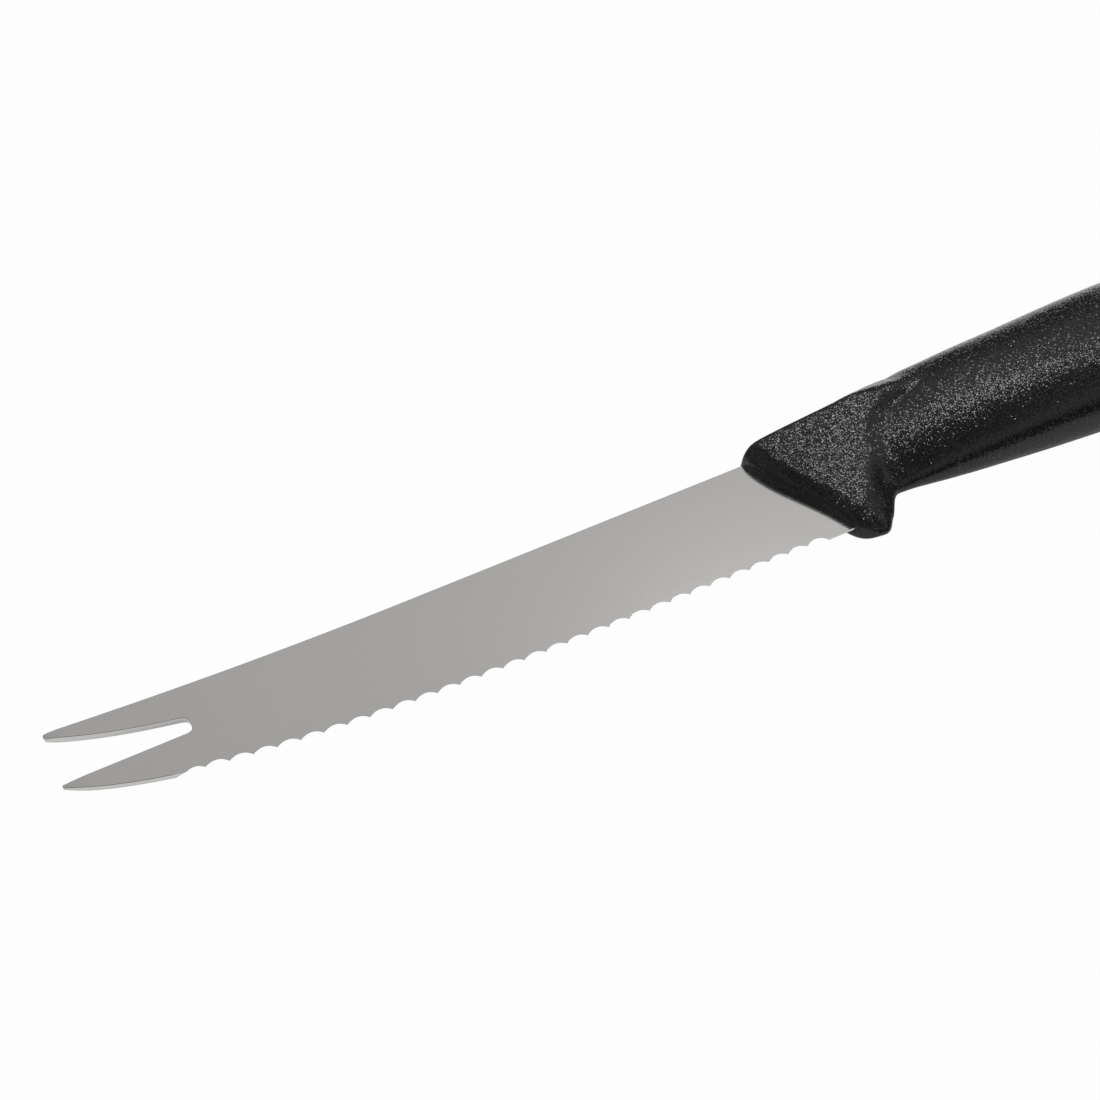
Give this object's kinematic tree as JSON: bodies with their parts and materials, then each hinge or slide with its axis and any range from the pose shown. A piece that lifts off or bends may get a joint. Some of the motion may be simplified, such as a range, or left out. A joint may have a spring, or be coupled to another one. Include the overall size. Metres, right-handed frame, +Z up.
{
  "type": "bar knife",
  "caption": "Bar knife lying on its side: slim scalloped steel blade with a forked, upswept end for lifting fruit slices, in a grained black handle with a finger guard.",
  "frame": {"origin": "on the surface that the knife lies on, under the middle of its bounding box", "axes": "+X from the fork's points to the butt, +Y from the cutting edge to the spine, +Z up out of the blade's plain side"},
  "size_m": [0.2172, 0.0288, 0.0152],
  "materials": {
    "blade_steel": "fine satin, ground along the blade",
    "handle_plastic": "fine spark-eroded grain, matt"
  },
  "bodies": {
    "root": {"blade": "blade_steel", "handle": "handle_plastic"}
  },
  "joints": []
}
